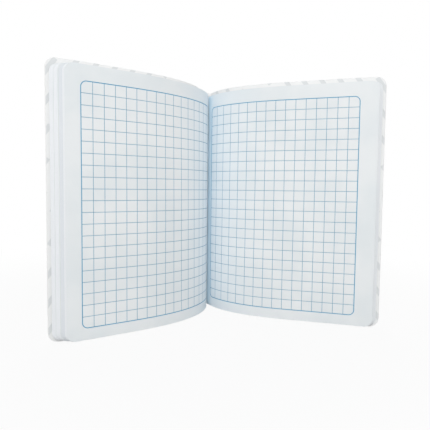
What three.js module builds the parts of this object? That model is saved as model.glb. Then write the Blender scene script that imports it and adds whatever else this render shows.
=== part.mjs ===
import * as THREE from 'three';

// Sewn exercise book with a soft card cover and rounded corners, standing open
// on its tail edge: spine at the back, the open pages towards the reader.
// Millimetres, +Z up, -Y towards the reader, front cover and front leaves at -X.
// The origin is on the floor, in the middle of the thickness of the spine card.
//
// The book opens in its fourth section, so that section's fold is the gutter.
// Every leaf leaves the fold nearly square to the spine and bends outwards.
// Each bundle of leaves is drawn in three lengths: its back at the spine, its
// gutter length, where paper bends when the book moves, and its flat outer length.

// Leaves
const PAGE_WIDTH = 167.5;
const PAGE_HEIGHT = 210.6;
const PAGE_CORNER_RADIUS = 7;
const LEAF_PITCH = 0.0925;
const SECTION_LEAVES = 20;
const OPEN_SECTION_FRONT_LEAVES = 10;
const TOP_LEAF_THICKNESS = 0.2;

// Cover card, with what it stands proud of the leaves
const CARD_THICKNESS = 0.4;
const COVER_CORNER_RADIUS = 8;
const HEAD_OVERHANG = 4.2;
const TAIL_OVERHANG = 0.9;
const FORE_EDGE_OVERHANG = 2;
const SCORE_RADIUS = 0.6;

// Spine: glued gauze lining behind the sewn folds
const LINING_THICKNESS = 0.6;
const LINING_END_MARGIN = 6;
const THREAD_DIAMETER = 0.4;
const STITCH_COUNT = 4;
const STITCH_LENGTH = 34;
const FOLD_WIDTH = 1;

// Lengths along a leaf, from the fold
const ROOT_LENGTH = 8;
const GUTTER_LENGTH = 90;

// Clearances between pieces
const SEAT_GAP = 0.3;
const CUT_GAP = 0.3;
const LEAF_FAN = 0.3;
const COVER_FAN = 0.9;
const FAN_START = 25;

// How each half lies open: angles from the middle plane of the book, at the fold
// and at the end of the bend, and the length of page over which it bends
const FRONT_HALF = { side: -1, foldAngle: 3.9, openAngle: 71.5, bendLength: 128.7 };
const BACK_HALF = { side: 1, foldAngle: 9.1, openAngle: 59.7, bendLength: 106.2 };

// Fineness of the curves
const CURVE_STEP = 0.5;
const GUTTER_STEPS = 12;
const OUTER_STEPS = 6;
const CORNER_STEPS = 6;
const ARC_STEPS = 6;

const SECTION_THICKNESS = SECTION_LEAVES * LEAF_PITCH;
const OPEN_FRONT_THICKNESS = OPEN_SECTION_FRONT_LEAVES * LEAF_PITCH;
const OPEN_BACK_LEAVES = SECTION_LEAVES - OPEN_SECTION_FRONT_LEAVES - 1;
const OPEN_BACK_THICKNESS = OPEN_BACK_LEAVES * LEAF_PITCH;
const COVER_WIDTH = PAGE_WIDTH + FORE_EDGE_OVERHANG;
const COVER_HEIGHT = TAIL_OVERHANG + PAGE_HEIGHT + HEAD_OVERHANG;

const PAPER = { color: 0xe6ebec, roughness: 0.9, metalness: 0 };
const CARD = { color: 0xeceeed, roughness: 0.35, metalness: 0 };
const GAUZE = { color: 0xdcd8cc, roughness: 0.95, metalness: 0 };
const THREAD = { color: 0xf2f2ee, roughness: 0.8, metalness: 0 };

// Layers of one half from the open page to the cover. Depths are measured from
// the open page, at the spine and at the fore edge, where the layers fan apart.
function stackLayers(thicknesses) {
  const layers = [];
  let root = 0;
  let edge = 0;
  for (const [index, thickness] of thicknesses.entries()) {
    const reader = { root, edge };
    const cover = { root: root + thickness, edge: edge + thickness };
    layers.push({ reader, cover });
    const isLastLeafLayer = index === thicknesses.length - 2;
    root = cover.root + SEAT_GAP;
    edge = cover.edge + SEAT_GAP + (isLastLeafLayer ? COVER_FAN : LEAF_FAN);
  }
  return layers;
}

const [openFront, section3, section2, section1, frontCover] = stackLayers([
  OPEN_FRONT_THICKNESS,
  SECTION_THICKNESS,
  SECTION_THICKNESS,
  SECTION_THICKNESS,
  CARD_THICKNESS,
]);
const [topLeaf, openBack, section5, backCover] = stackLayers([
  TOP_LEAF_THICKNESS,
  OPEN_BACK_THICKNESS,
  SECTION_THICKNESS,
  CARD_THICKNESS,
]);

// Where the fold is, seen from above, with the spine card centred on the origin
const frontTilt = THREE.MathUtils.degToRad(FRONT_HALF.foldAngle);
const backTilt = THREE.MathUtils.degToRad(BACK_HALF.foldAngle);
const frontRoot = frontCover.cover.root;
const backRoot = backCover.cover.root;
const rootRise = Math.max(frontRoot * Math.sin(frontTilt), backRoot * Math.sin(backTilt));
const FOLD_X = (frontRoot * Math.cos(frontTilt) - backRoot * Math.cos(backTilt)) / 2;
const LINING_BACK_Y = -CARD_THICKNESS / 2 - SEAT_GAP;
const THREAD_BACK_Y = LINING_BACK_Y - LINING_THICKNESS - SEAT_GAP;
const FOLD_Y = THREAD_BACK_Y - THREAD_DIAMETER - SEAT_GAP - SECTION_THICKNESS / 2 - rootRise;

// Angle of the open page from the middle plane at a distance from the fold
function pageAngle(half, distance) {
  const left = Math.max(0, 1 - distance / half.bendLength);
  const degrees = half.openAngle - (half.openAngle - half.foldAngle) * left ** 2;
  return THREE.MathUtils.degToRad(degrees);
}

function along(half, angle) {
  return new THREE.Vector2(half.side * Math.sin(angle), -Math.cos(angle));
}

function towardsCover(half, angle) {
  return new THREE.Vector2(half.side * Math.cos(angle), Math.sin(angle));
}

// Curve of one face of a layer seen from above, given by the length along that face
function faceCurve(half, depth) {
  const page = new THREE.Vector2(FOLD_X + (half.side * FOLD_WIDTH) / 2, FOLD_Y);
  const points = [];
  const lengths = [];
  const reach = COVER_WIDTH + 2 * (frontCover.cover.edge + backCover.cover.edge);
  for (let distance = 0; distance < reach; distance += CURVE_STEP) {
    const angle = pageAngle(half, distance);
    const fan = Math.max(0, (distance - FAN_START) / (PAGE_WIDTH - FAN_START)) ** 2;
    const offset = depth.root + (depth.edge - depth.root) * fan;
    const point = towardsCover(half, angle).multiplyScalar(offset).add(page);
    const previous = points.at(-1) ?? point;
    lengths.push((lengths.at(-1) ?? 0) + point.distanceTo(previous));
    points.push(point);
    page.addScaledVector(along(half, pageAngle(half, distance + CURVE_STEP / 2)), CURVE_STEP);
  }
  return (length) => {
    const next = Math.max(1, lengths.findIndex((value) => value >= length));
    const share = (length - lengths[next - 1]) / (lengths[next] - lengths[next - 1]);
    return points[next - 1].clone().lerp(points[next], share);
  };
}

// Closed body between the two faces of a layer. Each station is a length along
// the leaf with the lowest and highest point there.
function layerBody(half, layer, stations) {
  const readerFace = faceCurve(half, layer.reader);
  const coverFace = faceCurve(half, layer.cover);
  const positions = [];
  for (const { length, low, high } of stations) {
    const reader = readerFace(length);
    const cover = coverFace(length);
    positions.push(reader.x, reader.y, low, reader.x, reader.y, high);
    positions.push(cover.x, cover.y, high, cover.x, cover.y, low);
  }
  const indices = [];
  const addQuad = (a, b, c, d) => {
    if (half.side > 0) indices.push(a, b, c, a, c, d);
    else indices.push(a, c, b, a, d, c);
  };
  const last = 4 * (stations.length - 1);
  for (let at = 0; at < last; at += 4) {
    for (let edge = 0; edge < 4; edge += 1) {
      const nextEdge = (edge + 1) % 4;
      addQuad(at + edge, at + 4 + edge, at + 4 + nextEdge, at + nextEdge);
    }
  }
  addQuad(0, 1, 2, 3);
  addQuad(last + 3, last + 2, last + 1, last);
  const geometry = new THREE.BufferGeometry();
  geometry.setAttribute('position', new THREE.Float32BufferAttribute(positions, 3));
  geometry.setIndex(indices);
  return geometry;
}

const LEAF_SHEET = {
  width: PAGE_WIDTH,
  low: TAIL_OVERHANG,
  high: TAIL_OVERHANG + PAGE_HEIGHT,
  radius: PAGE_CORNER_RADIUS,
};
const COVER_SHEET = { width: COVER_WIDTH, low: 0, high: COVER_HEIGHT, radius: COVER_CORNER_RADIUS };

// The length that bends, from the spine to the flat outer part
function gutterGeometry(half, layer, sheet) {
  const start = ROOT_LENGTH + CUT_GAP;
  const end = GUTTER_LENGTH - CUT_GAP;
  const stations = [];
  for (let step = 0; step <= GUTTER_STEPS; step += 1) {
    const length = start + ((end - start) * step) / GUTTER_STEPS;
    stations.push({ length, low: sheet.low, high: sheet.high });
  }
  return layerBody(half, layer, stations);
}

// The outer length, with the rounded corners at the fore edge
function outerGeometry(half, layer, sheet) {
  const stations = [];
  const cornerStart = sheet.width - sheet.radius;
  for (let step = 0; step < OUTER_STEPS; step += 1) {
    const length = GUTTER_LENGTH + ((cornerStart - GUTTER_LENGTH) * step) / OUTER_STEPS;
    stations.push({ length, low: sheet.low, high: sheet.high });
  }
  for (let step = 0; step <= CORNER_STEPS; step += 1) {
    const turn = (Math.PI / 2) * (step / CORNER_STEPS);
    const cut = sheet.radius * (1 - Math.cos(turn));
    const length = cornerStart + sheet.radius * Math.sin(turn);
    stations.push({ length, low: sheet.low + cut, high: sheet.high - cut });
  }
  return layerBody(half, layer, stations);
}

function extrudeUp(outline, low, high) {
  const geometry = new THREE.ExtrudeGeometry(new THREE.Shape(outline), {
    depth: high - low,
    bevelEnabled: false,
  });
  return geometry.translate(0, 0, low);
}

// Points of one face from the spine out to the end of the glued root
function rootFace(half, depth) {
  const face = faceCurve(half, depth);
  return [face(0), face(ROOT_LENGTH / 2), face(ROOT_LENGTH)];
}

// Rounded back of a folded bundle, from one point of its root line to the other
function foldedBack(from, to) {
  const middle = from.clone().lerp(to, 0.5);
  const half = to.clone().sub(middle);
  const points = [];
  for (let step = 1; step < ARC_STEPS; step += 1) {
    const turn = Math.PI * (1 - step / ARC_STEPS);
    const point = middle.clone().addScaledVector(half, Math.cos(turn));
    point.y += (SECTION_THICKNESS / 2) * Math.sin(turn);
    points.push(point);
  }
  return points;
}

// Back of a closed section: its folds, glued and sewn together
function sectionBackGeometry(half, layer) {
  const reader = rootFace(half, layer.reader);
  const cover = rootFace(half, layer.cover);
  const outline = [...reader.toReversed(), ...foldedBack(reader[0], cover[0]), ...cover];
  return extrudeUp(outline, LEAF_SHEET.low, LEAF_SHEET.high);
}

// Back of the open section: a fold with leaves to both sides of the gutter
function openSectionBackGeometry() {
  const frontReader = rootFace(FRONT_HALF, openFront.reader);
  const frontCoverFace = rootFace(FRONT_HALF, openFront.cover);
  const backReader = rootFace(BACK_HALF, topLeaf.reader);
  const backCoverFace = rootFace(BACK_HALF, openBack.cover);
  const outline = [
    ...frontCoverFace.toReversed(),
    ...foldedBack(frontCoverFace[0], backCoverFace[0]),
    ...backCoverFace,
    ...backReader.toReversed(),
    ...frontReader,
  ];
  return extrudeUp(outline, LEAF_SHEET.low, LEAF_SHEET.high);
}

// Quarter of a circle that rounds a scored fold of the card
function scoreArc(x, y, radius, startTurn, endTurn) {
  const arc = new THREE.EllipseCurve(x, y, radius, radius, startTurn, endTurn, endTurn < startTurn);
  return arc.getPoints(ARC_STEPS / 2);
}

// Spine of the cover: the card between its two scores, with the strips beside
// them that are glued to the first and the last section
function coverSpineGeometry() {
  const frontOuter = rootFace(FRONT_HALF, frontCover.cover);
  const frontInner = rootFace(FRONT_HALF, frontCover.reader);
  const backOuter = rootFace(BACK_HALF, backCover.cover);
  const backInner = rootFace(BACK_HALF, backCover.reader);
  const backY = CARD_THICKNESS / 2;
  const innerY = -CARD_THICKNESS / 2;
  const arcY = backY - SCORE_RADIUS;
  const frontArcX = frontOuter[0].x + SCORE_RADIUS;
  const backArcX = backOuter[0].x - SCORE_RADIUS;
  const outline = [
    ...backOuter.toReversed(),
    ...scoreArc(backArcX, arcY, SCORE_RADIUS, 0, Math.PI / 2),
    ...scoreArc(frontArcX, arcY, SCORE_RADIUS, Math.PI / 2, Math.PI),
    ...frontOuter,
    ...frontInner.toReversed(),
    new THREE.Vector2(frontInner[0].x, innerY),
    new THREE.Vector2(backInner[0].x, innerY),
    ...backInner,
  ];
  return extrudeUp(outline, COVER_SHEET.low, COVER_SHEET.high);
}

// Gauze strip glued over the sewn backs
function liningGeometry() {
  const left = rootFace(FRONT_HALF, section1.cover)[0].x;
  const right = rootFace(BACK_HALF, section5.cover)[0].x;
  const outline = [
    new THREE.Vector2(left, LINING_BACK_Y - LINING_THICKNESS),
    new THREE.Vector2(right, LINING_BACK_Y - LINING_THICKNESS),
    new THREE.Vector2(right, LINING_BACK_Y),
    new THREE.Vector2(left, LINING_BACK_Y),
  ];
  return extrudeUp(outline, LEAF_SHEET.low + LINING_END_MARGIN, LEAF_SHEET.high - LINING_END_MARGIN);
}

// Stitch that shows in the gutter, in the fold of the open section
function stitchGeometry(index) {
  const radius = THREAD_DIAMETER / 2;
  const middle = LEAF_SHEET.low + (PAGE_HEIGHT / STITCH_COUNT) * (index + 0.5);
  const stitch = new THREE.CylinderGeometry(radius, radius, STITCH_LENGTH, ARC_STEPS);
  stitch.rotateX(Math.PI / 2);
  return stitch.translate(FOLD_X, FOLD_Y - SEAT_GAP - radius, middle);
}

// Middle of a closed section's rounded back, across the book
function backMiddle(half, layer) {
  return (rootFace(half, layer.reader)[0].x + rootFace(half, layer.cover)[0].x) / 2;
}

// Thread outside the folds: one run up the open section's back, with links to
// the backs of the other sections between the stitches
function linkThreadGeometry() {
  const radius = THREAD_DIAMETER / 2;
  const pitch = PAGE_HEIGHT / STITCH_COUNT;
  const frontSide = [];
  const backSide = [];
  const addLink = (side, runX, endX, height) => {
    side.push(new THREE.Vector2(runX, height - radius), new THREE.Vector2(endX, height - radius));
    side.push(new THREE.Vector2(endX, height + radius), new THREE.Vector2(runX, height + radius));
  };
  for (let link = 1; link < STITCH_COUNT; link += 1) {
    const height = LEAF_SHEET.low + pitch * link;
    addLink(frontSide, FOLD_X - radius, backMiddle(FRONT_HALF, section1), height);
    addLink(backSide, FOLD_X + radius, backMiddle(BACK_HALF, section5), height);
  }
  const ladder = new THREE.Shape([...backSide, ...frontSide.toReversed()]);
  const geometry = new THREE.ExtrudeGeometry(ladder, { depth: THREAD_DIAMETER, bevelEnabled: false });
  geometry.rotateX(Math.PI / 2);
  return geometry.translate(0, THREAD_BACK_Y, 0);
}

const book = new THREE.Group();

function addPiece(name, geometry, finish) {
  const piece = new THREE.Mesh(geometry, new THREE.MeshStandardMaterial(finish));
  piece.name = name;
  book.add(piece);
}

// A layer's gutter length and its outer length, as two pieces
function addLayer(name, half, layer, sheet, finish) {
  addPiece(`${name}_gutter`, gutterGeometry(half, layer, sheet), finish);
  addPiece(name, outerGeometry(half, layer, sheet), finish);
}

addPiece('cover_spine', coverSpineGeometry(), CARD);
addPiece('spine_lining', liningGeometry(), GAUZE);
addPiece('sewing_thread', linkThreadGeometry(), THREAD);
for (let index = 0; index < STITCH_COUNT; index += 1) {
  addPiece(`gutter_stitch_${index + 1}`, stitchGeometry(index), THREAD);
}
addPiece('section_1_back', sectionBackGeometry(FRONT_HALF, section1), PAPER);
addPiece('section_2_back', sectionBackGeometry(FRONT_HALF, section2), PAPER);
addPiece('section_3_back', sectionBackGeometry(FRONT_HALF, section3), PAPER);
addPiece('section_4_back', openSectionBackGeometry(), PAPER);
addPiece('section_5_back', sectionBackGeometry(BACK_HALF, section5), PAPER);

addLayer('front_cover', FRONT_HALF, frontCover, COVER_SHEET, CARD);
addLayer('section_1_leaves', FRONT_HALF, section1, LEAF_SHEET, PAPER);
addLayer('section_2_leaves', FRONT_HALF, section2, LEAF_SHEET, PAPER);
addLayer('section_3_leaves', FRONT_HALF, section3, LEAF_SHEET, PAPER);
addLayer('section_4_front_leaves', FRONT_HALF, openFront, LEAF_SHEET, PAPER);

addLayer('top_leaf', BACK_HALF, topLeaf, LEAF_SHEET, PAPER);
addLayer('section_4_back_leaves', BACK_HALF, openBack, LEAF_SHEET, PAPER);
addLayer('section_5_leaves', BACK_HALF, section5, LEAF_SHEET, PAPER);
addLayer('back_cover', BACK_HALF, backCover, COVER_SHEET, CARD);

export default book;
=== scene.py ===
import math
import random

import bpy
import numpy as np
from mathutils import Euler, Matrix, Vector


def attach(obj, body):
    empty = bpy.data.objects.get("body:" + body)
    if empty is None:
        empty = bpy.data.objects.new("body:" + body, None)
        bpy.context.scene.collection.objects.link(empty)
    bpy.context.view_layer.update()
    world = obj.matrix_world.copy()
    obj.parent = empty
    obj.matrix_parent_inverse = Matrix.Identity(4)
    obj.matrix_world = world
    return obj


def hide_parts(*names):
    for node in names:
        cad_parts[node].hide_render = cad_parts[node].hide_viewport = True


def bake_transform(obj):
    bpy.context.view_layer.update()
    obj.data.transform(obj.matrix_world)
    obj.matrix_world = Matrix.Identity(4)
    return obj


# Looks of an open exercise book: printed leaves, soft card cover, sewn spine.
# Lengths are in millimetres here, and MM turns them into Blender's metres.

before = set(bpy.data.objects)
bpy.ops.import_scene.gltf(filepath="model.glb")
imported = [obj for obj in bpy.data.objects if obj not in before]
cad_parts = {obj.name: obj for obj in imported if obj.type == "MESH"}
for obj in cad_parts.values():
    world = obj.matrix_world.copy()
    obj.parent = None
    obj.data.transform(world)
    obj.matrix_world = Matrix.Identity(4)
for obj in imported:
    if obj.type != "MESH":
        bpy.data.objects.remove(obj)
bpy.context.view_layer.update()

MM = 0.001

# The book, as the frame has it
PAGE_WIDTH = 167.5
PAGE_HEIGHT = 210.6
PAGE_CORNER_RADIUS = 7.0
LEAF_PITCH = 0.0925
LEAF_THICKNESS = 0.086
SECTION_LEAVES = 20
OPEN_SECTION_FRONT_LEAVES = 10
TOP_LEAF_SPACE = 0.2
CARD_THICKNESS = 0.4
COVER_CORNER_RADIUS = 8.0
HEAD_OVERHANG = 4.2
TAIL_OVERHANG = 0.9
FORE_EDGE_OVERHANG = 2.0
SCORE_RADIUS = 0.6
FOLD_WIDTH = 1.0
SEAT_GAP = 0.3
LEAF_FAN = 0.3
COVER_FAN = 0.9
FAN_START = 25.0
LINING_THICKNESS = 0.6
LINING_END_MARGIN = 6.0
THREAD_DIAMETER = 0.4
STITCH_COUNT = 4
STITCH_LENGTH = 34.0

# How leaves and bundles lie unevenly: random slips at the fore edge, the head's share of a
# slip, and how much a bundle swells towards its fore edge
SECTION_SLIP = 0.15
LEAF_SLIP = 0.07
SLIP_RISE_SHARE = 0.4
BUNDLE_SWELL = 0.35

# How far the third section lies back from the fore edge, behind its neighbours
SECTION_3_SET_BACK = 0.8

# Ripples that all sheets of a half share: they begin at a length and grow from there
RIPPLE_DEPTH = 0.32
UPRIGHT_RIPPLE_SHARE = 0.7
UPRIGHT_RIPPLE_LENGTH = 168
ACROSS_RIPPLE_LENGTH = 190
RIPPLE_START = 25
RIPPLE_GROWTH = 60

# How far the open section's innermost fold and any closed one bulge back, at the least
OPEN_FOLD_RISE = 0.35
LEAST_FOLD_RISE = 0.01

# Thread: a ply's radius as a share of the thread's, and the length of one twist
PLY_SHARE = 0.56
PLY_TWIST_LENGTH = 2.4
THREAD_STEP = 0.35
THREAD_CORNERS = 6

# The gauze is thinner than the room for it, by this much on both sides, and ripples
LINING_INSET = 0.1
LINING_RIPPLE = 0.05
LINING_RIPPLE_RATE = 2.2

# Where bending starts and ends, as lengths along a leaf from the fold
ROOT_BEND_END = 25.0
LEAF_CUT = 35.0
SWING_END = 45.0
OUTER_BEND_END = 90.0

# Print: squares in a rounded frame, with its margins from the fold and the tail
SQUARE = 9.0
PRINT_COLUMNS = 16
PRINT_ROWS = 21
PRINT_TAIL_MARGIN = 9.3
PRINT_CORNER_RADIUS = 4.5
FRAME_LINE = 0.68
GRID_LINE = 0.4
LEFT_PAGE_FOLD_MARGIN = 11.5
RIGHT_PAGE_FOLD_MARGIN = 8.15
INK_EDGE = 0.06
FAINTEST_INK = 0.86

# Painted bluish light on the paper near the fold and in the crease, for light bounced between the
# pages: where each starts and ends, and how strong it is
GUTTER_PAINTED_LIGHT_REACH = (4.0, 80.0)
FOLD_PAINTED_LIGHT_REACH = (3.0, 13.0)
LEFT_GUTTER_PAINTED_LIGHT = 0.95
RIGHT_GUTTER_PAINTED_LIGHT = 0.55

# Pattern of dashes inside the cover: the spacing of the rows and of the dashes in a row, the
# shift from row to row, and where a dash fades out, as shares of the spacing from its middle
DASH_SLANT = math.radians(35)
DASH_ROW_SPACING = 12.5
DASH_SPACING = 34.0
DASH_ROW_SHIFT = 0.37
DASH_SIDE_FADE = (0.13, 0.17)
DASH_END_FADE = (0.33, 0.36)

GAUZE_PITCH = 1.1

# Camera, measured from the fold where the book stands
CAMERA_FROM_FOLD = (-97.8, -429.5, 119.5)
CAMERA_HEADING = 13.9
CAMERA_PITCH = 3.5
CAMERA_ROLL = 0.63
CAMERA_FOCAL_SHARE = 1.003
SENSOR_WIDTH = 36.0

# Floor and sky, in metres: the floor is pure white to the camera beyond its fade, and near
# the book it lets a little of the shadow show
FLOOR_REACH = 3.0
FLOOR_GREY = (0.62, 0.62, 0.62, 1)
FLOOR_FADE = (0.12, 0.5)
WHITE_SHARE_NEAR = 0.92
SKY_COLOUR = (0.95, 0.975, 1.0, 1)
SKY_STRENGTH = 0.52

# Lamps: place and width in metres, and power in watts. They face the book at LAMP_AIM in plan.
# The key lamp stands above the camera, so that its light reaches the bottom of the fold.
LAMP_AIM = (0, -0.05)
LAMPS = {
    "key": ((-0.215, -0.945, 1.0), 0.3, 4.3),
    "side": ((-0.4, -1.12, 0.3), 0.5, 2.7),
    "fill": ((0.9, -0.42, 0.9), 0.6, 0.3),
    "rear": ((0.3, 1.5, 0.9), 1.4, 13),
}

# How finely the sheets are divided, in millimetres along them and in rows up them
NEAR_STEP = 1.25
FAR_STEP = 3.0
CARD_STEP = 2.0
ROWS = 12
CARD_ROWS = 40
FOLD_ROWS = 4
FOLD_STEPS = 10
SPINE_ROWS = 30
SPINE_STEPS = 8
SCORE_STEPS = 6
LINING_ROWS = 40
LINING_COLUMNS = 12
LEAF_CORNER_STEPS = 10
CARD_CORNER_STEPS = 14
SHARP_ANGLE = math.radians(40)

SECTION_THICKNESS = SECTION_LEAVES * LEAF_PITCH
OPEN_BACK_LEAVES = SECTION_LEAVES - OPEN_SECTION_FRONT_LEAVES - 1
COVER_WIDTH = PAGE_WIDTH + FORE_EDGE_OVERHANG
COVER_HEIGHT = TAIL_OVERHANG + PAGE_HEIGHT + HEAD_OVERHANG
PAGE_LOW = TAIL_OVERHANG
PAGE_HIGH = TAIL_OVERHANG + PAGE_HEIGHT
STITCH_PITCH = PAGE_HEIGHT / STITCH_COUNT

# Backs of the gauze, the link thread and the folds, in front of the spine card's middle
LINING_BACK = CARD_THICKNESS / 2 + SEAT_GAP
THREAD_BACK = LINING_BACK + LINING_THICKNESS + SEAT_GAP
FOLDS_BACK = THREAD_BACK + THREAD_DIAMETER + SEAT_GAP

shuffle = random.Random(7)


class Layer:
    """Leaves or card between two depths behind the open page, at the fold and at the fore edge."""

    def __init__(self, root, edge, thickness):
        self.root = root
        self.edge = edge
        self.thickness = thickness

    def depth(self, share):
        """Depth at the fold and at the fore edge, for a share of the layer's thickness."""
        return self.root + share * self.thickness, self.edge + share * self.thickness

    def sheet(self, thickness):
        """Depths of both faces of a single sheet at the layer's reader side."""
        return (self.root, self.edge), (self.root + thickness, self.edge + thickness)


def stack_layers(thicknesses):
    """Layers from the open page to the card, further apart at the fore edge than at the fold."""
    layers = []
    root = edge = 0.0
    for index, thickness in enumerate(thicknesses):
        layers.append(Layer(root, edge, thickness))
        last_leaves = index == len(thicknesses) - 2
        root += thickness + SEAT_GAP
        edge += thickness + SEAT_GAP + (COVER_FAN if last_leaves else LEAF_FAN)
    return layers


def run_lengths(points):
    """Length along a row of plan points, from its first point to each."""
    return np.concatenate([[0], np.cumsum(np.linalg.norm(np.diff(points, axis=0), axis=1))])


class Half:
    """One half of the open book: how it lies, and the curves of its layers seen from above.
    Its swell towards the cover is highest at the length swell_peak. There it runs from
    swell * (swell_base - 1) at the tail to swell * (swell_base + 1) at the head."""

    STEP = 0.25
    REACH = 200.0

    def __init__(
        self, name, side, fold_angle, open_angle, bend_length,
        swell, swell_base, swell_peak, ripple_turn, thicknesses,
    ):
        self.name = name
        self.side = side
        self.fold_angle = fold_angle
        self.open_angle = open_angle
        self.bend_length = bend_length
        self.swell = swell
        self.swell_base = swell_base
        self.swell_peak = swell_peak
        self.ripple_turn = ripple_turn
        self.layers = stack_layers(thicknesses)

    def angle(self, distance):
        """How far the page turns away from -Y at this distance from the fold, in radians."""
        left = np.clip(1 - distance / self.bend_length, 0, None)
        return np.radians(self.open_angle - (self.open_angle - self.fold_angle) * left**2)

    def lay_page(self, fold):
        """Points of the open page from the fold outwards, a short step apart."""
        self.distance = np.arange(0, self.REACH, self.STEP)
        heading = self.angle(self.distance + self.STEP / 2)
        steps = self.STEP * np.stack([self.side * np.sin(heading), -np.cos(heading)], 1)
        start = np.array([fold[0] + self.side * FOLD_WIDTH / 2, fold[1]])
        self.page = start + np.vstack([np.zeros(2), np.cumsum(steps, 0)[:-1]])
        angle = self.angle(self.distance)
        self.outward = np.stack([self.side * np.cos(angle), np.sin(angle)], 1)
        self.fan = np.clip((self.distance - FAN_START) / (PAGE_WIDTH - FAN_START), 0, None) ** 2

    def at(self, depths, lengths):
        """Points at these lengths along the surface that lies at these depths."""
        offset = depths[0] + (depths[1] - depths[0]) * self.fan
        points = self.page + offset[:, None] * self.outward
        run = run_lengths(points)
        x = np.interp(lengths, run, points[:, 0])
        y = np.interp(lengths, run, points[:, 1])
        return np.stack([x, y], -1)

    def normal(self, depths, lengths):
        """Directions towards the cover at these lengths."""
        lengths = np.asarray(lengths)
        ahead = self.at(depths, lengths + 0.5) - self.at(depths, lengths - 0.5)
        ahead /= np.linalg.norm(ahead, axis=-1, keepdims=True)
        return np.stack([-self.side * ahead[..., 1], self.side * ahead[..., 0]], -1)


front = Half(
    "front", side=-1, fold_angle=3.9, open_angle=71.5, bend_length=128.7,
    swell=1.2, swell_base=1, swell_peak=62, ripple_turn=0.6,
    thicknesses=[OPEN_SECTION_FRONT_LEAVES * LEAF_PITCH, *[SECTION_THICKNESS] * 3, CARD_THICKNESS],
)
back = Half(
    "back", side=1, fold_angle=9.1, open_angle=59.7, bend_length=106.2,
    swell=1, swell_base=0, swell_peak=65, ripple_turn=2.1,
    thicknesses=[TOP_LEAF_SPACE, OPEN_BACK_LEAVES * LEAF_PITCH, SECTION_THICKNESS, CARD_THICKNESS],
)


def place_fold():
    """The fold seen from above, with the spine card's middle at the origin."""
    reach = {}
    rise = 0.0
    for half in (front, back):
        depth = half.layers[-1].depth(1)[0]
        tilt = math.radians(half.fold_angle)
        reach[half.name] = depth * math.cos(tilt)
        rise = max(rise, depth * math.sin(tilt))
    return (reach["front"] - reach["back"]) / 2, -FOLDS_BACK - SECTION_THICKNESS / 2 - rise


fold = place_fold()
for book_half in (front, back):
    book_half.lay_page(fold)


# Meshes


def place_object(name, data):
    """A new object in the scene."""
    item = bpy.data.objects.new(name, data)
    bpy.context.scene.collection.objects.link(item)
    return item


class Solid:
    """Collects closed sheets and makes one mesh object of them. Its UV map holds
    millimetres: along the sheet and up on its two faces, along the rim and through on rims."""

    READER, COVER, RIM = 0, 1, 2

    def __init__(self):
        self.points = []
        self.faces = []
        self.uvs = []
        self.slots = []

    def add_sheet(self, reader, cover, low, high, along, rows, side, depth=0.0):
        """A sheet between two rows of plan points, each with its lowest and highest point, or
        one for all. side is 1 where the sheet runs towards +X with its reader's face to -Y."""
        count = len(along)
        low, high = np.broadcast_to(low, count), np.broadcast_to(high, count)
        share = np.linspace(0, 1, rows + 1)
        heights = low[:, None] + (high - low)[:, None] * share
        base = len(self.points)
        for plan in (reader, cover):
            grid = plan if plan.ndim == 3 else np.repeat(plan[:, None, :], rows + 1, 1)
            block = np.concatenate([grid, heights[:, :, None]], 2)
            self.points.extend((block.reshape(-1, 3) * MM).tolist())
        size = count * (rows + 1)
        thick = float(np.linalg.norm(cover.reshape(-1, 2)[0] - reader.reshape(-1, 2)[0]))

        def reader_at(i, j):
            return base + i * (rows + 1) + j

        def cover_at(i, j):
            return reader_at(i, j) + size

        def put(corners, uvs, slot):
            """Adds one face, turned over where the sheet runs towards -X."""
            self.faces.append(corners[::side])
            self.uvs.extend(uvs[::side])
            self.slots.append(slot)

        for i in range(count - 1):
            for j in range(rows):
                uv = [(along[i], heights[i, j]), (along[i + 1], heights[i + 1, j]),
                      (along[i + 1], heights[i + 1, j + 1]), (along[i], heights[i, j + 1])]
                ring = [(i, j), (i + 1, j), (i + 1, j + 1), (i, j + 1)]
                put([reader_at(*at) for at in ring], uv, self.READER)
                put([cover_at(*at) for at in ring[::-1]], uv[::-1], self.COVER)
            near, far = depth, depth + thick
            for j, turn in ((0, 1), (rows, -1)):
                corners = [reader_at(i, j), cover_at(i, j), cover_at(i + 1, j), reader_at(i + 1, j)]
                uv = [(along[i], near), (along[i], far), (along[i + 1], far), (along[i + 1], near)]
                put(corners[::turn], uv[::turn], self.RIM)
        for i, turn in ((0, 1), (count - 1, -1)):
            for j in range(rows):
                corners = [reader_at(i, j), reader_at(i, j + 1), cover_at(i, j + 1), cover_at(i, j)]
                uv = [(heights[i, j], depth), (heights[i, j + 1], depth),
                      (heights[i, j + 1], depth + thick), (heights[i, j], depth + thick)]
                put(corners[::turn], uv[::turn], self.RIM)

    def make(self, name, materials):
        mesh = bpy.data.meshes.new(name)
        mesh.from_pydata(self.points, [], self.faces)
        layer = mesh.uv_layers.new(name="Sheet")
        layer.data.foreach_set("uv", np.array(self.uvs, np.float32).ravel())
        for material in materials:
            mesh.materials.append(material)
        mesh.polygons.foreach_set("material_index", np.array(self.slots, np.int32))
        mesh.shade_smooth()
        mesh.set_sharp_from_angle(angle=SHARP_ANGLE)
        mesh.update()
        return place_object(name, mesh)


# Materials


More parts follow.
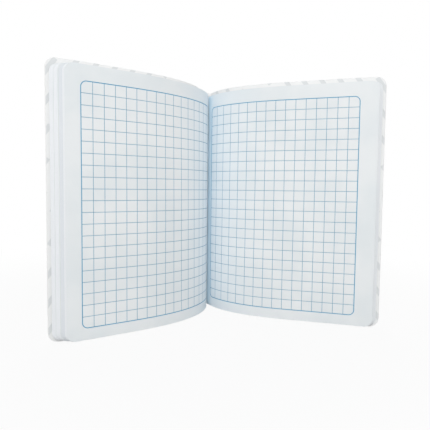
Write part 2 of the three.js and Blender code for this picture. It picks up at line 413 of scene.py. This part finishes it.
class Nodes:
    """Short calls for the nodes of one new material or sky, which starts with a surface node."""

    def __init__(self, owner, surface):
        owner.use_nodes = True
        self.owner = owner
        self.tree = owner.node_tree
        self.surface = self.tree.nodes[surface]

    def new(self, kind, **settings):
        node = self.tree.nodes.new(kind)
        for key, value in settings.items():
            setattr(node, key, value)
        return node

    def join(self, value, socket):
        """Links a socket to this one, or sets a plain value."""
        if isinstance(value, bpy.types.NodeSocket):
            self.tree.links.new(value, socket)
        else:
            socket.default_value = value

    def math(self, operation, a, b=0.0):
        node = self.new("ShaderNodeMath", operation=operation)
        self.join(a, node.inputs[0])
        self.join(b, node.inputs[1])
        return node.outputs[0]

    def step(self, value, start, end, *, low=0.0, high=1.0):
        """Smooth change from low to high as the value goes from start to end."""
        node = self.new("ShaderNodeMapRange", interpolation_type="SMOOTHSTEP")
        for socket, item in zip(("Value", "From Min", "From Max", "To Min", "To Max"),
                                (value, start, end, low, high)):
            self.join(item, node.inputs[socket])
        return node.outputs["Result"]

    def fade(self, value, start, end):
        """One up to the start, and none from the end on."""
        return self.step(value, start, end, low=1.0, high=0.0)

    def mix(self, share, a, b):
        node = self.new("ShaderNodeMix", data_type="RGBA")
        self.join(share, node.inputs["Factor"])
        self.join(a, node.inputs["A"])
        self.join(b, node.inputs["B"])
        return node.outputs["Result"]

    def cell(self, value, spacing):
        """How far a value lies from the middle of its cell, as a share of the cells' spacing."""
        part = self.math("FRACT", self.math("DIVIDE", value, spacing))
        return self.math("ABSOLUTE", self.math("SUBTRACT", part, 0.5))

    def noise(self, size_mm, detail, stretch=(1.0, 1.0, 1.0)):
        """Noise in the object's own space, with features about this many millimetres across."""
        place = self.new("ShaderNodeTexCoord")
        scale = self.new("ShaderNodeMapping")
        self.join(place.outputs["Object"], scale.inputs["Vector"])
        scale.inputs["Scale"].default_value = stretch
        texture = self.new("ShaderNodeTexNoise")
        texture.inputs["Scale"].default_value = 1 / (size_mm * MM)
        texture.inputs["Detail"].default_value = detail
        self.join(scale.outputs["Vector"], texture.inputs["Vector"])
        return texture.outputs["Fac"]

    def sheet_place(self):
        """Millimetres along the sheet and up it, or through it on its rims."""
        uv = self.new("ShaderNodeUVMap", uv_map="Sheet")
        split = self.new("ShaderNodeSeparateXYZ")
        self.join(uv.outputs["UV"], split.inputs["Vector"])
        return split.outputs["X"], split.outputs["Y"]

    def finish(self, colour, roughness, bump, bump_mm, strength):
        """Sets the surface's colour, roughness and bump, and returns the material."""
        self.join(colour, self.surface.inputs["Base Color"])
        self.join(roughness, self.surface.inputs["Roughness"])
        node = self.new("ShaderNodeBump")
        node.inputs["Distance"].default_value = bump_mm * MM
        node.inputs["Strength"].default_value = strength
        self.join(bump, node.inputs["Height"])
        self.join(node.outputs["Normal"], self.surface.inputs["Normal"])
        return self.owner

    def blend_surfaces(self, share, first, second, output):
        """Sends a mix of two surfaces to the output node of this name."""
        node = self.new("ShaderNodeMixShader")
        for socket, item in zip(node.inputs, (share, first, second)):
            self.join(item, socket)
        self.join(node.outputs[0], self.tree.nodes[output].inputs["Surface"])


def material_nodes(name):
    return Nodes(bpy.data.materials.new(name), "Principled BSDF")


def linear(red, green, blue):
    """A colour given as it shows on screen, 0 to 255, as a linear one."""
    def one(value):
        value /= 255
        return value / 12.92 if value <= 0.04045 else ((value + 0.055) / 1.055) ** 2.4
    return one(red), one(green), one(blue), 1.0


PAPER_COLOUR = linear(241, 243, 243)
PAPER_SHADE = linear(234, 238, 239)
PAPER_EDGE = linear(246, 247, 249)
# Painted shade between the leaves at their cut edges
PAPER_EDGE_PAINTED_SHADE = linear(222, 226, 231)
# Painted shade: a darker copy of the leaf edges for the section that lies back
PAINTED_SHADE_EDGE = linear(232, 235, 239)
PAINTED_SHADE_EDGE_GAP = linear(211, 216, 222)
# Painted bluish light near the gutter and in the fold, not the paper's own colour
GUTTER_PAINTED_LIGHT = linear(240, 249, 255)
FOLD_PAINTED_LIGHT = linear(230, 246, 255)
GRID_INK = linear(68, 144, 178)
FRAME_INK = linear(40, 148, 190)
CARD_COLOUR = linear(248, 248, 247)
CARD_WEAR = linear(238, 238, 235)
CARD_EDGE = linear(232, 231, 227)
CARD_PATTERN = linear(228, 230, 230)
GAUZE_COLOUR = linear(222, 216, 200)
THREAD_COLOUR = linear(240, 240, 234)


def paper_base(nodes):
    """Uncoated paper: a faint cloud of tone and fine fibres."""
    cloud = nodes.noise(size_mm=38, detail=3)
    tone = nodes.mix(nodes.step(cloud, 0.35, 0.7), PAPER_COLOUR, PAPER_SHADE)
    fibre = nodes.noise(size_mm=0.35, detail=3, stretch=(1, 1, 0.35))
    return nodes.mix(nodes.step(fibre, 0.3, 0.75, high=0.12), tone, PAPER_SHADE), fibre


def line_ink(nodes, distance, width):
    """Share of ink at this distance from the middle of a printed line."""
    return nodes.fade(distance, width / 2 - INK_EDGE, width / 2 + INK_EDGE)


def printed_paper(name, fold_margin, painted_light_share):
    """Paper printed with blue squares inside a thicker frame with rounded corners."""
    nodes = material_nodes(name)
    base, fibre = paper_base(nodes)
    along, up = nodes.sheet_place()
    half_width = PRINT_COLUMNS * SQUARE / 2
    half_height = PRINT_ROWS * SQUARE / 2
    bottom = PAGE_LOW + PRINT_TAIL_MARGIN
    from_middle = (
        nodes.math("ABSOLUTE", nodes.math("SUBTRACT", along, fold_margin + half_width)),
        nodes.math("ABSOLUTE", nodes.math("SUBTRACT", up, bottom + half_height)),
    )
    past = [
        nodes.math("SUBTRACT", distance, half - PRINT_CORNER_RADIUS)
        for distance, half in zip(from_middle, (half_width, half_height))
    ]
    squares = [nodes.math("POWER", nodes.math("MAXIMUM", value, 0.0), 2.0) for value in past]
    outside = nodes.math("SQRT", nodes.math("ADD", *squares))
    inside = nodes.math("MINIMUM", nodes.math("MAXIMUM", *past), 0.0)
    to_frame = nodes.math("SUBTRACT", nodes.math("ADD", outside, inside), PRINT_CORNER_RADIUS)
    frame_ink = line_ink(nodes, nodes.math("ABSOLUTE", to_frame), FRAME_LINE)
    to_lines = []
    for distance, count in zip(from_middle, (PRINT_COLUMNS, PRINT_ROWS)):
        shifted = nodes.math("ADD", distance, SQUARE * (0.5 if count % 2 == 0 else 1.0))
        to_lines.append(nodes.math("MULTIPLY", nodes.cell(shifted, SQUARE), SQUARE))
    grid_ink = line_ink(nodes, nodes.math("MINIMUM", *to_lines), GRID_LINE)
    within_frame = nodes.fade(to_frame, -INK_EDGE, INK_EDGE)
    grid_ink = nodes.math("MULTIPLY", grid_ink, within_frame)
    uneven = nodes.step(nodes.noise(size_mm=0.6, detail=2), 0.25, 0.75, low=FAINTEST_INK)
    # Painted bluish light near the fold, fading away from it
    by_gutter = nodes.step(along, *GUTTER_PAINTED_LIGHT_REACH, low=painted_light_share, high=0.0)
    by_fold = nodes.fade(along, *FOLD_PAINTED_LIGHT_REACH)
    with_painted_light = nodes.mix(by_fold, nodes.mix(by_gutter, base, GUTTER_PAINTED_LIGHT), FOLD_PAINTED_LIGHT)
    with_grid = nodes.mix(nodes.math("MULTIPLY", grid_ink, uneven), with_painted_light, GRID_INK)
    colour = nodes.mix(nodes.math("MULTIPLY", frame_ink, uneven), with_grid, FRAME_INK)
    return nodes.finish(colour, roughness=0.85, bump=fibre, bump_mm=0.02, strength=0.25)


def leaf_edges(name, edge, between_shade):
    """Cut edges of the leaves, with painted shade in the gaps between them."""
    nodes = material_nodes(name)
    _, through = nodes.sheet_place()
    between = nodes.step(nodes.cell(through, LEAF_PITCH), 0.3, 0.5)
    fuzz = nodes.noise(size_mm=0.25, detail=3)
    shade = nodes.math("MULTIPLY", between, nodes.step(fuzz, 0.3, 0.7, low=0.3, high=0.8))
    colour = nodes.mix(shade, edge, between_shade)
    return nodes.finish(colour, roughness=0.9, bump=fuzz, bump_mm=0.03, strength=0.4)


def card_outside():
    """Coated white card: smooth, slightly glossy, with faint handling marks."""
    nodes = material_nodes("cover_outside")
    wear = nodes.noise(size_mm=26, detail=4)
    colour = nodes.mix(nodes.step(wear, 0.45, 0.8, high=0.5), CARD_COLOUR, CARD_WEAR)
    grain = nodes.noise(size_mm=0.5, detail=2)
    rough = nodes.step(wear, 0.3, 0.8, low=0.30, high=0.44)
    nodes.surface.inputs["Coat Weight"].default_value = 0.15
    nodes.surface.inputs["Coat Roughness"].default_value = 0.25
    return nodes.finish(colour, roughness=rough, bump=grain, bump_mm=0.01, strength=0.2)


def card_inside():
    """Uncoated inside of the cover, printed with pale grey slanting dashes."""
    nodes = material_nodes("cover_inside")
    along, up = nodes.sheet_place()
    cosine, sine = math.cos(DASH_SLANT), math.sin(DASH_SLANT)
    across = nodes.math("ADD", nodes.math("MULTIPLY", along, cosine),
                        nodes.math("MULTIPLY", up, sine))
    down = nodes.math("SUBTRACT", nodes.math("MULTIPLY", up, cosine),
                      nodes.math("MULTIPLY", along, sine))
    row = nodes.math("FLOOR", nodes.math("DIVIDE", across, DASH_ROW_SPACING))
    shift = nodes.math("MULTIPLY", row, DASH_ROW_SHIFT * DASH_SPACING)
    down = nodes.math("ADD", down, shift)
    dash = nodes.math(
        "MULTIPLY",
        nodes.fade(nodes.cell(across, DASH_ROW_SPACING), *DASH_SIDE_FADE),
        nodes.fade(nodes.cell(down, DASH_SPACING), *DASH_END_FADE),
    )
    fibre = nodes.noise(size_mm=0.4, detail=3)
    card = nodes.mix(nodes.step(fibre, 0.3, 0.8, high=0.3), CARD_COLOUR, CARD_WEAR)
    colour = nodes.mix(dash, card, CARD_PATTERN)
    return nodes.finish(colour, roughness=0.7, bump=fibre, bump_mm=0.02, strength=0.25)


def card_edge():
    """Cut edge of the card, fibrous and a little greyer."""
    nodes = material_nodes("cover_edge")
    fibre = nodes.noise(size_mm=0.2, detail=4)
    colour = nodes.mix(nodes.step(fibre, 0.3, 0.7), CARD_EDGE, CARD_COLOUR)
    return nodes.finish(colour, roughness=0.85, bump=fibre, bump_mm=0.04, strength=0.5)


def gauze():
    """Open plain weave, set in dried glue."""
    nodes = material_nodes("gauze")
    place = nodes.new("ShaderNodeTexCoord")
    split = nodes.new("ShaderNodeSeparateXYZ")
    nodes.join(place.outputs["Object"], split.inputs["Vector"])
    threads = [
        nodes.fade(nodes.cell(split.outputs[axis], GAUZE_PITCH * MM), 0.15, 0.3)
        for axis in ("X", "Z")
    ]
    weave = nodes.math("MAXIMUM", *threads)
    colour = nodes.mix(weave, GAUZE_COLOUR, THREAD_COLOUR)
    rough = nodes.step(weave, 0, 1, low=0.45, high=0.9)
    return nodes.finish(colour, roughness=rough, bump=weave, bump_mm=0.15, strength=0.8)


def thread_finish():
    """Fuzzy white thread."""
    nodes = material_nodes("thread")
    fuzz = nodes.noise(size_mm=0.1, detail=3)
    colour = nodes.mix(fuzz, THREAD_COLOUR, GAUZE_COLOUR)
    return nodes.finish(colour, roughness=0.8, bump=fuzz, bump_mm=0.03, strength=0.5)


LEFT_PAGE = printed_paper("left_page_print", LEFT_PAGE_FOLD_MARGIN, LEFT_GUTTER_PAINTED_LIGHT)
RIGHT_PAGE = printed_paper("right_page_print", RIGHT_PAGE_FOLD_MARGIN, RIGHT_GUTTER_PAINTED_LIGHT)
LEAF_EDGES = leaf_edges("leaf_edges", PAPER_EDGE, PAPER_EDGE_PAINTED_SHADE)
# Leaf edges with painted shade, for the section that lies back
PAINTED_SHADE_LEAF_EDGES = leaf_edges("painted_shade_leaf_edges", PAINTED_SHADE_EDGE, PAINTED_SHADE_EDGE_GAP)
CARD_OUTSIDE = card_outside()
CARD_INSIDE = card_inside()
CARD_RIM = card_edge()
GAUZE = gauze()
THREAD = thread_finish()

# A leaf on the front half shows a left page to the reader, and a right page behind
LEAF_MATERIALS = {
    "front": [LEFT_PAGE, RIGHT_PAGE, LEAF_EDGES],
    "back": [RIGHT_PAGE, LEFT_PAGE, LEAF_EDGES],
}
CARD_MATERIALS = [CARD_INSIDE, CARD_OUTSIDE, CARD_RIM]


# Leaves and card


def wave(half, lengths, heights):
    """How far a sheet stands off its even curve towards the cover. All layers share it."""
    share = lengths / PAGE_WIDTH
    peak = half.swell_peak / PAGE_WIDTH
    # This power puts the top of the swell at the peak
    fall = 2 / peak - 2
    swell = share**2 * np.clip(1 - share, 0, 1) ** fall / (peak**2 * (1 - peak) ** fall)
    rise = 2 * heights / COVER_HEIGHT - 1
    opening = half.swell * (half.swell_base + rise)
    upright = np.sin(2 * math.pi * heights / UPRIGHT_RIPPLE_LENGTH + half.ripple_turn)
    across = np.cos(2 * math.pi * lengths / ACROSS_RIPPLE_LENGTH + half.ripple_turn)
    reach = np.clip((lengths - RIPPLE_START) / RIPPLE_GROWTH, 0, 1) ** 2
    ripple = upright * UPRIGHT_RIPPLE_SHARE + across * (1 - UPRIGHT_RIPPLE_SHARE)
    return opening * swell + RIPPLE_DEPTH * reach * ripple


def stations(start, end, step, width=None, radius=0.0, corner_steps=LEAF_CORNER_STEPS):
    """Lengths along a sheet, and how far its tail and head are cut back there by round corners."""
    stop = end if width is None else width - radius
    count = max(1, math.ceil((stop - start) / step))
    along = np.linspace(start, stop, count + 1)
    cut = np.zeros(count + 1)
    if width is not None:
        turn = np.linspace(0, math.pi / 2, corner_steps + 1)[1:]
        along = np.concatenate([along, stop + radius * np.sin(turn)])
        cut = np.concatenate([cut, radius * (1 - np.cos(turn))])
    return along, cut


def add_stretch(
    solid, half, reader_depths, cover_depths, along, cut, low, high, rows, depth=0.0,
):
    """Adds the stretch of one sheet over these lengths, on the even curve plus the wave."""
    share = np.linspace(0, 1, rows + 1)
    heights = (low + cut)[:, None] + (high - low - 2 * cut)[:, None] * share
    faces = []
    for depths in (reader_depths, cover_depths):
        flat = half.at(depths, along)
        off = wave(half, along[:, None], heights)[:, :, None]
        faces.append(flat[:, None, :] + off * half.normal(depths, along)[:, None, :])
    solid.add_sheet(faces[0], faces[1], low + cut, high - cut, along, rows, half.side, depth)


class Leaves:
    """One bundle: its leaves' depths, each with its own small slip and swell."""

    def __init__(self, half, layer, count, set_back):
        self.half = half
        self.items = []
        section_slip = shuffle.uniform(-SECTION_SLIP, SECTION_SLIP) - set_back
        for index in range(count):
            root = layer.root + index * LEAF_PITCH
            edge = layer.edge + index * LEAF_PITCH + BUNDLE_SWELL * index / max(1, count - 1)
            slip = section_slip + shuffle.uniform(-LEAF_SLIP, LEAF_SLIP)
            rise = (slip + set_back) * SLIP_RISE_SHARE
            reader = (root, edge)
            cover = (root + LEAF_THICKNESS, edge + LEAF_THICKNESS)
            self.items.append((reader, cover, slip, rise))

    def add(self, solid, start, end, step, outer=False):
        """Adds each leaf between two lengths, or from one to its rounded fore edge."""
        for index, (reader, cover, slip, rise) in enumerate(self.items):
            if outer:
                along, cut = stations(start, end, step, PAGE_WIDTH + slip, PAGE_CORNER_RADIUS)
            else:
                along, cut = stations(start, end, step)
            add_stretch(
                solid, self.half, reader, cover, along, cut,
                PAGE_LOW + rise, PAGE_HIGH + rise, ROWS, index * LEAF_PITCH,
            )


def lift(point):
    """A plan point as a place in Blender."""
    return Vector((float(point[0]) * MM, float(point[1]) * MM, 0.0))


def bend_ends(half, layer, start, end):
    """Middle points of a layer at two lengths, as a start and an end."""
    depths = layer.depth(0.5)
    return {"start": lift(half.at(depths, start)), "end": lift(half.at(depths, end))}


def make_bundle(name, half, layer, count, set_back=0.0, edges=LEAF_EDGES):
    """A bundle of leaves as two pieces that meet at LEAF_CUT along the leaves."""
    leaves = Leaves(half, layer, count, set_back)
    materials = LEAF_MATERIALS[half.name][:2] + [edges]
    near = Solid()
    leaves.add(near, 0.0, LEAF_CUT, NEAR_STEP)
    near_piece = near.make(f"{name}_near_spine", materials)
    bend_ends(half, layer, 0, ROOT_BEND_END)
    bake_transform(near_piece)
    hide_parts(f"{name}_gutter")
    far = Solid()
    leaves.add(far, LEAF_CUT, PAGE_WIDTH, FAR_STEP, outer=True)
    far_piece = far.make(f"{name}_outer", materials)
    bend_ends(half, layer, SWING_END, OUTER_BEND_END)
    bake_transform(far_piece)
    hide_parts(name)
    return leaves


def make_swinging_sheet(
    name, half, layer, width, radius, low, high, thickness, materials, step, rows,
):
    """A single sheet as three pieces, cut at ROOT_BEND_END and SWING_END along it."""
    reader, cover = layer.sheet(thickness)
    lengths = (0.0, ROOT_BEND_END, SWING_END, width)
    bends = ((0, ROOT_BEND_END), (ROOT_BEND_END, SWING_END), (SWING_END, OUTER_BEND_END))
    labels = ("near_spine", "turn", "outer")
    for index, label in enumerate(labels):
        start, end = lengths[index], lengths[index + 1]
        if label == "outer":
            along, cut = stations(start, end, step, width, radius, CARD_CORNER_STEPS)
        else:
            along, cut = stations(start, end, NEAR_STEP)
        solid = Solid()
        add_stretch(solid, half, reader, cover, along, cut, low, high, rows)
        piece = solid.make(f"{name}_{label}", materials)
        bend_ends(half, layer, *bends[index])
        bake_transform(piece)
        if label == "turn":
            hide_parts(f"{name}_gutter")
        if label == "outer":
            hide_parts(name)


# Folds at the spine


def fold_arc(start, end, rise):
    """Rounded fold between two root points, bulging away from the reader."""
    turn = np.linspace(0, math.pi, FOLD_STEPS + 1)
    middle = (start + end) / 2
    half = (start - end) / 2
    points = middle + np.cos(turn)[:, None] * half
    points[:, 1] += rise * np.sin(turn)
    return points


def make_fold(name, sheets):
    """Nested folds of one section's sheets, riding on the spine."""
    solid = Solid()
    for index, (outer, inner) in enumerate(sheets):
        along = run_lengths(outer)
        solid.add_sheet(
            inner, outer, PAGE_LOW, PAGE_HIGH, along, FOLD_ROWS, 1, index * LEAF_PITCH,
        )
    piece = solid.make(f"{name}_folds", [LEAF_EDGES] * 3)
    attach(piece, "spine")
    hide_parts(name)


def closed_section_folds(name, half, leaves):
    """Leaf k from the reader's side joins leaf k from the cover's side."""
    sheets = []
    pairs = SECTION_LEAVES // 2
    for index in range(pairs):
        first = leaves.items[index]
        last = leaves.items[SECTION_LEAVES - 1 - index]
        rise = SECTION_THICKNESS / 2 * (1 - index / pairs)
        outer = (half.at(first[0], 0.0), half.at(last[1], 0.0))[::half.side]
        inner = (half.at(first[1], 0.0), half.at(last[0], 0.0))[::half.side]
        inner_rise = max(rise - LEAF_THICKNESS, LEAST_FOLD_RISE)
        sheets.append((fold_arc(*outer, rise), fold_arc(*inner, inner_rise)))
    make_fold(name, sheets)


def open_section_folds(name, front_leaves, back_leaves, top):
    """The open section's sheets run from the left pages to the right pages."""
    sheets = []
    for index in range(OPEN_SECTION_FRONT_LEAVES):
        left = front_leaves.items[index]
        right = top if index == 0 else back_leaves.items[index - 1]
        growth = (SECTION_THICKNESS / 2 - OPEN_FOLD_RISE) * index / OPEN_SECTION_FRONT_LEAVES
        rise = OPEN_FOLD_RISE + growth
        outer = (front.at(left[1], 0.0), back.at(right[1], 0.0))
        inner = (front.at(left[0], 0.0), back.at(right[0], 0.0))
        sheets.append((fold_arc(*outer, rise + LEAF_THICKNESS), fold_arc(*inner, rise)))
    make_fold(name, sheets)


def make_cover_spine():
    """The card round the spine, between its two scored and rounded edges."""
    outer_left = front.at(front.layers[-1].depth(1), 0.0)
    outer_right = back.at(back.layers[-1].depth(1), 0.0)
    inner_left = front.at(front.layers[-1].depth(0), 0.0)
    inner_right = back.at(back.layers[-1].depth(0), 0.0)
    behind = CARD_THICKNESS / 2
    turn = np.linspace(0, math.pi / 2, SCORE_STEPS + 1)
    inner_radius = SCORE_RADIUS - CARD_THICKNESS

    def corner(edge_x, face_y, radius, side):
        centre = np.array([edge_x - side * radius, face_y - radius])
        return centre + radius * np.stack([side * np.cos(turn), np.sin(turn)], 1)

    panel = np.linspace(-1, 1, SPINE_STEPS + 1)[1:-1]
    half_panel = (outer_right[0] - outer_left[0]) / 2 - SCORE_RADIUS
    outer = np.vstack([
        outer_left, corner(outer_left[0], behind, SCORE_RADIUS, -1),
        np.stack([panel * half_panel, np.full(len(panel), behind)], 1),
        corner(outer_right[0], behind, SCORE_RADIUS, 1)[::-1], outer_right,
    ])
    inner = np.vstack([
        inner_left, corner(inner_left[0], -behind, inner_radius, -1),
        np.stack([panel * half_panel, np.full(len(panel), -behind)], 1),
        corner(inner_right[0], -behind, inner_radius, 1)[::-1], inner_right,
    ])
    solid = Solid()
    solid.add_sheet(inner, outer, 0.0, COVER_HEIGHT, run_lengths(outer), SPINE_ROWS, 1)
    piece = solid.make("cover_spine_card", CARD_MATERIALS)
    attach(piece, "spine")
    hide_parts("cover_spine")


def make_thread(name, nodes_replaced, runs):
    """Two-ply thread along straight runs, each run from one point to another in millimetres."""
    points, faces = [], []
    radius = THREAD_DIAMETER / 2
    ply = radius * PLY_SHARE
    for start, end in runs:
        start, end = np.array(start, float), np.array(end, float)
        length = np.linalg.norm(end - start)
        axis = (end - start) / length
        side = np.cross(axis, (0.0, 1.0, 0.0))
        side /= np.linalg.norm(side)
        other = np.cross(axis, side)
        steps = max(8, math.ceil(length / THREAD_STEP))
        for strand in (0.0, math.pi):
            base = len(points)
            for step in range(steps + 1):
                share = step / steps
                twist = strand + 2 * math.pi * length * share / PLY_TWIST_LENGTH
                outward = math.cos(twist) * side + math.sin(twist) * other
                middle = start + axis * length * share + (radius - ply) * outward
                for corner in range(THREAD_CORNERS):
                    turn = 2 * math.pi * corner / THREAD_CORNERS
                    around = math.cos(turn) * side + math.sin(turn) * other
                    points.append((middle + ply * around) * MM)
            for step in range(steps):
                for corner in range(THREAD_CORNERS):
                    a = base + step * THREAD_CORNERS + corner
                    b = base + step * THREAD_CORNERS + (corner + 1) % THREAD_CORNERS
                    faces.append((a, b, b + THREAD_CORNERS, a + THREAD_CORNERS))
            last = base + steps * THREAD_CORNERS
            faces.append(tuple(base + corner for corner in reversed(range(THREAD_CORNERS))))
            faces.append(tuple(last + corner for corner in range(THREAD_CORNERS)))
    mesh = bpy.data.meshes.new(name)
    mesh.from_pydata([tuple(point) for point in points], [], faces)
    mesh.materials.append(THREAD)
    mesh.shade_smooth()
    mesh.update()
    piece = place_object(name, mesh)
    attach(piece, "spine")
    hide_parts(*nodes_replaced)


def make_stitches():
    """One stitch in each quarter of the open fold."""
    y = fold[1] - SEAT_GAP - THREAD_DIAMETER / 2
    for index in range(STITCH_COUNT):
        middle = PAGE_LOW + STITCH_PITCH * (index + 0.5)
        ends = [(fold[0], y, middle + sign * STITCH_LENGTH / 2) for sign in (-1, 1)]
        make_thread(f"stitch_{index + 1}", [f"gutter_stitch_{index + 1}"], [ends])


def outer_sections(share):
    """Where the first and the last section meet the spine, at a share of their thickness."""
    return [half.at(half.layers[-2].depth(share), 0.0)[0] for half in (front, back)]


def make_link_thread():
    """Thread behind the folds: a run up the open section and links to the others."""
    y = -(THREAD_BACK + THREAD_DIAMETER / 2)
    left, right = outer_sections(0.5)
    heights = [PAGE_LOW + STITCH_PITCH * link for link in range(1, STITCH_COUNT)]
    runs = [((fold[0], y, heights[0]), (fold[0], y, heights[-1]))]
    runs += [((left, y, height), (right, y, height)) for height in heights]
    make_thread("link_thread", ["sewing_thread"], runs)


def make_lining():
    """Gauze strip behind the folds, slightly rippled."""
    left, right = outer_sections(1)
    low, high = PAGE_LOW + LINING_END_MARGIN, PAGE_HIGH - LINING_END_MARGIN
    columns = np.linspace(left, right, LINING_COLUMNS)
    ripple = LINING_RIPPLE * np.sin(columns * LINING_RIPPLE_RATE)
    reader = np.stack([columns, -LINING_BACK - LINING_THICKNESS + LINING_INSET + ripple], 1)
    cover = np.stack([columns, -LINING_BACK - LINING_INSET + ripple], 1)
    solid = Solid()
    solid.add_sheet(reader, cover, low, high, columns - left, LINING_ROWS, 1)
    piece = solid.make("gauze_strip", [GAUZE] * 3)
    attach(piece, "spine")
    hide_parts("spine_lining")


def make_book():
    """All pieces of the book. The order of the bundles sets the order of the random slips."""
    open_front, section_3, section_2, section_1, front_card = front.layers
    top_layer, open_back, section_5, back_card = back.layers
    bundles = {
        "section_1": (front, section_1), "section_2": (front, section_2),
        "section_3": (front, section_3), "section_5": (back, section_5),
    }
    for name, (half, layer) in bundles.items():
        # The third section lies back, and its leaf edges carry painted shade
        recessed_with_painted_shade = (SECTION_3_SET_BACK, PAINTED_SHADE_LEAF_EDGES) if name == "section_3" else ()
        leaves = make_bundle(f"{name}_leaves", half, layer, SECTION_LEAVES, *recessed_with_painted_shade)
        closed_section_folds(f"{name}_back", half, leaves)
    left_leaves = make_bundle(
        "section_4_front_leaves", front, open_front, OPEN_SECTION_FRONT_LEAVES,
    )
    right_leaves = make_bundle("section_4_back_leaves", back, open_back, OPEN_BACK_LEAVES)
    make_swinging_sheet(
        "top_leaf", back, top_layer, width=PAGE_WIDTH, radius=PAGE_CORNER_RADIUS,
        low=PAGE_LOW, high=PAGE_HIGH, thickness=LEAF_THICKNESS,
        materials=LEAF_MATERIALS["back"], step=FAR_STEP, rows=ROWS,
    )
    top = top_layer.sheet(LEAF_THICKNESS)
    open_section_folds("section_4_back", left_leaves, right_leaves, top)
    covers = (("front_cover", front, front_card), ("back_cover", back, back_card))
    for name, half, layer in covers:
        make_swinging_sheet(
            name, half, layer, width=COVER_WIDTH, radius=COVER_CORNER_RADIUS,
            low=0.0, high=COVER_HEIGHT, thickness=CARD_THICKNESS,
            materials=CARD_MATERIALS, step=CARD_STEP, rows=CARD_ROWS,
        )
    make_cover_spine()
    make_lining()
    make_stitches()
    make_link_thread()


# Stage


def make_camera():
    """The photo's view: from the left of the book's middle plane, a little above its middle."""
    data = bpy.data.cameras.new("camera")
    data.sensor_width = SENSOR_WIDTH
    data.sensor_fit = "HORIZONTAL"
    data.lens = SENSOR_WIDTH * CAMERA_FOCAL_SHARE
    data.clip_start = 0.01
    camera = place_object("camera", data)
    x, y, z = CAMERA_FROM_FOLD
    camera.location = ((fold[0] + x) * MM, (fold[1] + y) * MM, z * MM)
    pitch, heading = math.radians(90 - CAMERA_PITCH), math.radians(-CAMERA_HEADING)
    turn = Euler((pitch, 0, heading), "XYZ").to_matrix()
    roll = Euler((0, 0, math.radians(CAMERA_ROLL)), "XYZ").to_matrix()
    camera.rotation_euler = (turn @ roll).to_euler()
    bpy.context.scene.camera = camera


def make_floor():
    """A white floor that keeps a faint shadow."""
    nodes = material_nodes("floor")
    nodes.join(FLOOR_GREY, nodes.surface.inputs["Base Color"])
    nodes.join(1.0, nodes.surface.inputs["Roughness"])
    glow = nodes.new("ShaderNodeEmission")
    nodes.join((1, 1, 1, 1), glow.inputs["Color"])
    nodes.join(1.0, glow.inputs["Strength"])
    path = nodes.new("ShaderNodeLightPath")
    place = nodes.new("ShaderNodeTexCoord")
    away = nodes.new("ShaderNodeVectorMath", operation="LENGTH")
    nodes.join(place.outputs["Object"], away.inputs[0])
    fade = nodes.step(away.outputs["Value"], *FLOOR_FADE, low=WHITE_SHARE_NEAR)
    white_share = nodes.math("MULTIPLY", path.outputs["Is Camera Ray"], fade)
    nodes.blend_surfaces(
        white_share, nodes.surface.outputs[0], glow.outputs[0], "Material Output"
    )

    size = FLOOR_REACH
    mesh = bpy.data.meshes.new("floor")
    corners = [(-size, -size, 0), (size, -size, 0), (size, size, 0), (-size, size, 0)]
    mesh.from_pydata(corners, [], [(0, 1, 2, 3)])
    mesh.materials.append(nodes.owner)
    floor = place_object("floor", mesh)


def make_world():
    """White for the camera, in gloss and through glass, and soft light for the rest."""
    world = bpy.data.worlds.new("world")
    bpy.context.scene.world = world
    nodes = Nodes(world, "Background")
    path = nodes.new("ShaderNodeLightPath")
    seen = nodes.math("MAXIMUM", path.outputs["Is Glossy Ray"], path.outputs["Is Transmission Ray"])
    seen = nodes.math("MAXIMUM", path.outputs["Is Camera Ray"], seen)
    nodes.join(SKY_COLOUR, nodes.surface.inputs["Color"])
    nodes.join(SKY_STRENGTH, nodes.surface.inputs["Strength"])
    white = nodes.new("ShaderNodeBackground")
    nodes.join((1, 1, 1, 1), white.inputs["Color"])
    nodes.join(1.0, white.inputs["Strength"])
    nodes.blend_surfaces(seen, nodes.surface.outputs[0], white.outputs[0], "World Output")


def make_lamp(name, place, size, watts):
    """A soft square lamp that faces the middle of the book."""
    data = bpy.data.lights.new(name, "AREA")
    data.size = size
    data.energy = watts
    lamp = place_object(name, data)
    lamp.location = place
    aim = Vector((*LAMP_AIM, COVER_HEIGHT * MM / 2)) - Vector(place)
    lamp.rotation_euler = aim.to_track_quat("-Z", "Y").to_euler()


make_book()
make_camera()
make_floor()
make_world()
for lamp_name, settings in LAMPS.items():
    make_lamp(lamp_name, *settings)

scene = bpy.context.scene
scene.view_settings.view_transform = "Standard"
